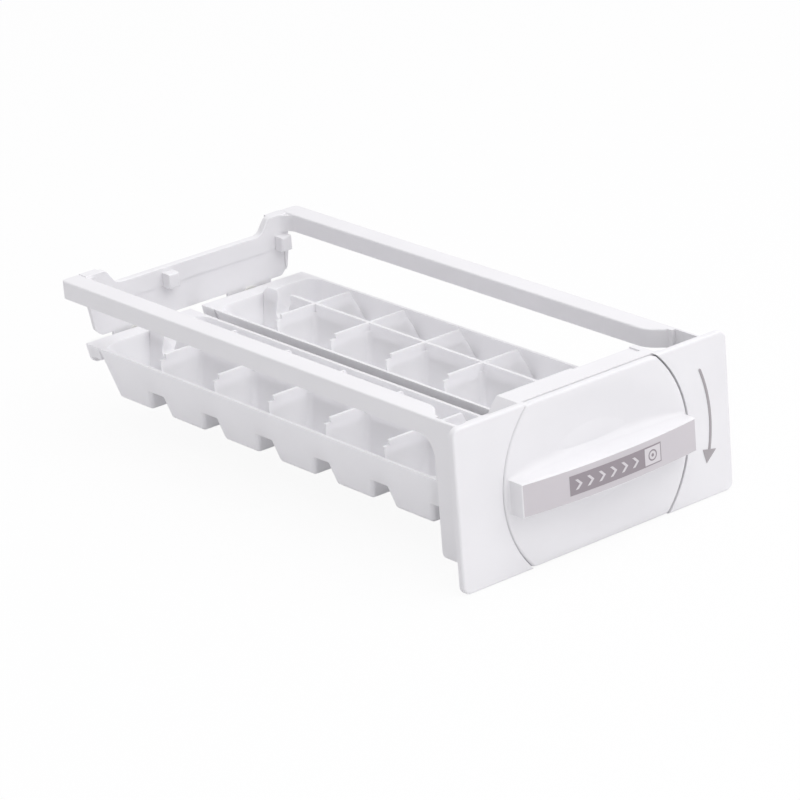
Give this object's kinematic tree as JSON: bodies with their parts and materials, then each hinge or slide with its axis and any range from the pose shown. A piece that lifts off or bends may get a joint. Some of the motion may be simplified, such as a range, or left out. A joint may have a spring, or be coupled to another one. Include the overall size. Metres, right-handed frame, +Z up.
{
  "type": "twist ice tray unit",
  "caption": "Twist-release ice tray unit: white frame on two rails, front knob with lever bar, twin-column trays geared to turn over together.",
  "frame": {"origin": "midway between the two rail seats, at the back face of the front panel", "axes": "+X to the right facing the panel, +Y from the panel to the rear along the rails, +Z up"},
  "size_m": [0.155, 0.3089, 0.0747],
  "materials": {
    "white_plastic": "satin white moulding",
    "tray_plastic": "slightly milky white moulding",
    "acetal": "natural acetal",
    "grey_strip": "satin light grey",
    "dark_label": "mid grey print",
    "light_marks": "light grey print",
    "grey_print": "mid grey print",
    "steel": "zinc plated"
  },
  "bodies": {
    "frame": {"front_panel": "white_plastic", "direction_arrow": "grey_print", "gear_case": "white_plastic", "right_side_rail": "white_plastic", "left_side_rail": "white_plastic", "rear_cross_wall": "white_plastic", "knob_bush": "acetal", "return_spring": "steel", "panel_screws": "steel", "case_screws": "steel", "rear_wall_screws": "steel", "left_front_bush": "acetal", "right_front_bush": "acetal", "left_rear_bush": "acetal", "right_rear_bush": "acetal"},
    "knob": {"knob_disc": "white_plastic", "gear_segments": "acetal", "gear_segment_screws": "steel", "handle_bar": "white_plastic", "handle_front_strip": "grey_strip", "label_plate": "dark_label", "label_marks": "light_marks", "handle_screws": "steel", "knob_washer": "steel", "knob_screw": "steel"},
    "left_tray": {"left_ice_tray": "tray_plastic", "left_drive_gear": "acetal", "left_drive_shaft": "acetal", "left_shaft_clip": "steel", "left_rear_pivot_pin": "steel", "left_tray_screws": "steel"},
    "right_tray": {"right_ice_tray": "tray_plastic", "right_drive_gear": "acetal", "right_drive_shaft": "acetal", "right_shaft_clip": "steel", "right_rear_pivot_pin": "steel", "right_tray_screws": "steel"}
  },
  "joints": [
    {"name": "knob_turn", "type": "hinge", "parent": "frame", "child": "knob", "pos_m": [0, 0, -0.02715], "axis": [0, 1, 0], "range_deg": [0, 34], "stiffness_Nm_per_rad": 0.25, "springref_deg": -5.73},
    {"name": "left_tray_turn", "type": "hinge", "parent": "frame", "child": "left_tray", "pos_m": [-0.0338, 0.15, -0.02715], "axis": [0, 1, 0], "range_deg": [0, 114.5]},
    {"name": "right_tray_turn", "type": "hinge", "parent": "frame", "child": "right_tray", "pos_m": [0.0338, 0.15, -0.02715], "axis": [0, 1, 0], "range_deg": [0, 114.5]}
  ],
  "couplings": [
    {"joint": "left_tray_turn", "follows": "knob_turn", "ratio": 3.3636},
    {"joint": "right_tray_turn", "follows": "knob_turn", "ratio": 3.3636}
  ]
}
